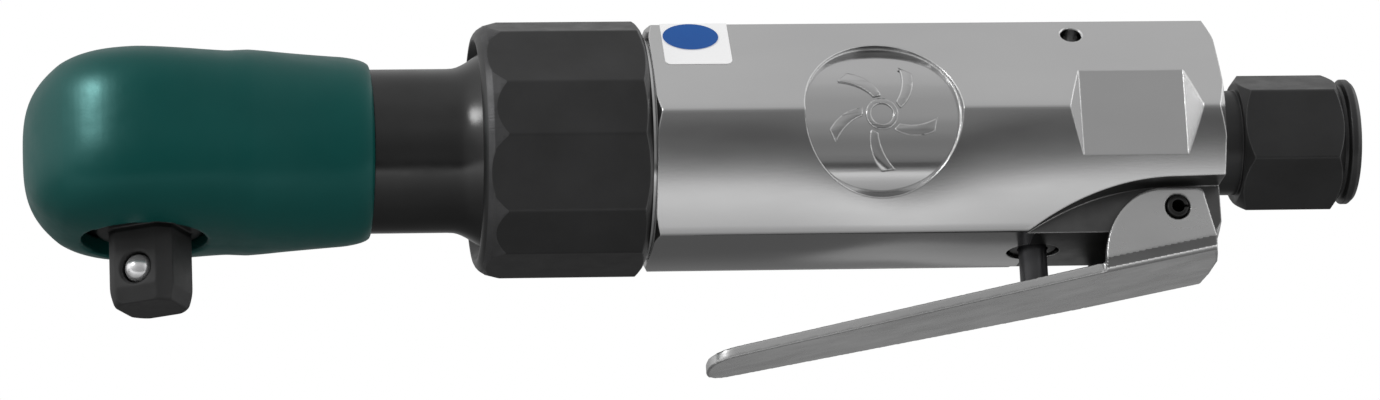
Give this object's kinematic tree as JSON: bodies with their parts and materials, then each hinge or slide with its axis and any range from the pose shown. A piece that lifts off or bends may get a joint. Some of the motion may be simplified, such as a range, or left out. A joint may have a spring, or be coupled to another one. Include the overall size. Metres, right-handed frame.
{
  "type": "air ratchet wrench",
  "caption": "Pneumatic ratchet wrench: vane motor and planetary drive in a hexagonal alloy body, crank-driven ratchet head in a rubber boot, square drive, throttle lever and threaded air inlet.",
  "frame": {"origin": "centre of the square drive's end face", "axes": "+X along the tool from the ratchet head to the air inlet, +Z from the drive's end face up through the head, so the drive points to -Z; Y completes the right-handed frame"},
  "size_m": [0.2457, 0.0468, 0.0655],
  "materials": {
    "boot_rubber": "moulded dark green elastomer, soft sheen",
    "black_steel": "black oxide over turned and milled steel",
    "housing_alloy": "polished alloy with fine lengthwise grain",
    "lever_steel": "satin nickel plated pressed steel",
    "bright_steel": "ground steel",
    "dark_steel": "hardened steel",
    "ball_chrome": "bright bearing ball",
    "brass": "turned brass",
    "seal": "nitrile seal",
    "vane_resin": "cloth-filled phenolic",
    "spring_wire": "spring wire"
  },
  "bodies": {
    "housing": {"motor_housing": "housing_alloy", "clamp_nut": "black_steel", "ratchet_housing": "black_steel", "head_boot": "boot_rubber", "ring_gear": "dark_steel", "front_end_plate": "dark_steel", "cylinder": "dark_steel", "rear_end_plate": "dark_steel", "front_bearing_outer": "bright_steel", "rear_bearing_outer": "bright_steel", "alignment_pin": "bright_steel", "crank_bearing": "dark_steel", "crank_thrust_washer": "brass", "valve_bushing": "brass", "valve_o_ring": "seal", "valve_seat": "brass", "valve_spring": "spring_wire", "inlet_bushing": "black_steel", "inlet_screen": "brass", "lever_pin": "black_steel"},
    "lever": {"throttle_lever": "lever_steel"},
    "valve": {"valve_pin": "bright_steel", "valve_head": "brass"},
    "rotor": {"rotor": "dark_steel", "vane_1": "vane_resin", "vane_2": "vane_resin", "vane_3": "vane_resin", "vane_4": "vane_resin", "vane_5": "vane_resin", "front_bearing_inner": "bright_steel", "rear_bearing_inner": "bright_steel"},
    "carrier": {"planet_carrier": "dark_steel", "crankshaft": "dark_steel", "planet_pin_1": "dark_steel", "planet_pin_2": "dark_steel", "planet_pin_3": "dark_steel"},
    "planet_1": {"planet_gear_1": "dark_steel"},
    "planet_2": {"planet_gear_2": "dark_steel"},
    "planet_3": {"planet_gear_3": "dark_steel"},
    "crank_bush": {"drive_bushing": "dark_steel"},
    "yoke": {"ratchet_yoke": "dark_steel"},
    "spindle": {"drive_spindle": "black_steel", "pawl_pin": "bright_steel", "detent_spring": "spring_wire", "spindle_thrust_washer": "dark_steel", "spindle_retaining_ring": "spring_wire"},
    "ball": {"detent_ball": "ball_chrome"},
    "pawl": {"pawl": "dark_steel"},
    "knob": {"reverse_knob": "black_steel", "plunger": "bright_steel", "plunger_spring": "spring_wire"}
  },
  "joints": [
    {"name": "lever_squeeze", "type": "hinge", "parent": "housing", "child": "lever", "pos_m": [0.1869, 0, 0.0131], "axis": [0, 1, 0], "range_deg": [0, 13], "stiffness_Nm_per_rad": 0.4, "springref_deg": -8.59},
    {"name": "valve_lift", "type": "slide", "parent": "housing", "child": "valve", "axis": [0, 0, 1], "range_m": [0, 0.0058], "deforming": ["valve_spring"]},
    {"name": "rotor_spin", "type": "hinge", "parent": "housing", "child": "rotor", "pos_m": [0.0928, 0, 0.0294], "axis": [1, 0, 0], "continuous": true},
    {"name": "carrier_spin", "type": "hinge", "parent": "housing", "child": "carrier", "pos_m": [0.0649, 0, 0.0294], "axis": [1, 0, 0], "continuous": true},
    {"name": "planet_1_spin", "type": "hinge", "parent": "carrier", "child": "planet_1", "pos_m": [0.0692, 0, 0.039], "axis": [1, 0, 0], "continuous": true},
    {"name": "planet_2_spin", "type": "hinge", "parent": "carrier", "child": "planet_2", "pos_m": [0.0692, -0.00831, 0.0246], "axis": [1, 0, 0], "continuous": true},
    {"name": "planet_3_spin", "type": "hinge", "parent": "carrier", "child": "planet_3", "pos_m": [0.0692, 0.00831, 0.0246], "axis": [1, 0, 0], "continuous": true},
    {"name": "bushing_spin", "type": "hinge", "parent": "carrier", "child": "crank_bush", "pos_m": [0.022, 0, 0.0314], "axis": [1, 0, 0], "continuous": true},
    {"name": "yoke_swing", "type": "hinge", "parent": "housing", "child": "yoke", "pos_m": [0, 0, 0.0294], "axis": [0, 0, 1], "range_deg": [-5, 5]},
    {"name": "spindle_spin", "type": "hinge", "parent": "housing", "child": "spindle", "pos_m": [0, 0, 0.0294], "axis": [0, 0, 1], "continuous": true},
    {"name": "detent_press", "type": "slide", "parent": "spindle", "child": "ball", "axis": [0.4695, 0.8829, 0], "range_m": [0, 0.0009], "stiffness_N_per_m": 600, "springref_m": -0.0005},
    {"name": "knob_turn", "type": "hinge", "parent": "spindle", "child": "knob", "pos_m": [0, 0, 0.0294], "axis": [0, 0, 1], "range_deg": [-30, 30]},
    {"name": "pawl_rock", "type": "hinge", "parent": "spindle", "child": "pawl", "pos_m": [-0.0074, 0, 0.0294], "axis": [0, 0, 1], "range_deg": [-7, 7]}
  ],
  "couplings": [
    {"joint": "valve_lift", "follows": "lever_squeeze", "m_per_rad": 0.0255},
    {"joint": "carrier_spin", "follows": "rotor_spin", "ratio": 0.1875},
    {"joint": "bushing_spin", "follows": "rotor_spin", "ratio": -0.1875},
    {"joint": "pawl_rock", "follows": "knob_turn", "ratio": -0.2},
    {"joint": "planet_1_spin", "follows": "rotor_spin", "ratio": -0.4875},
    {"joint": "planet_2_spin", "follows": "rotor_spin", "ratio": -0.4875},
    {"joint": "planet_3_spin", "follows": "rotor_spin", "ratio": -0.4875}
  ]
}
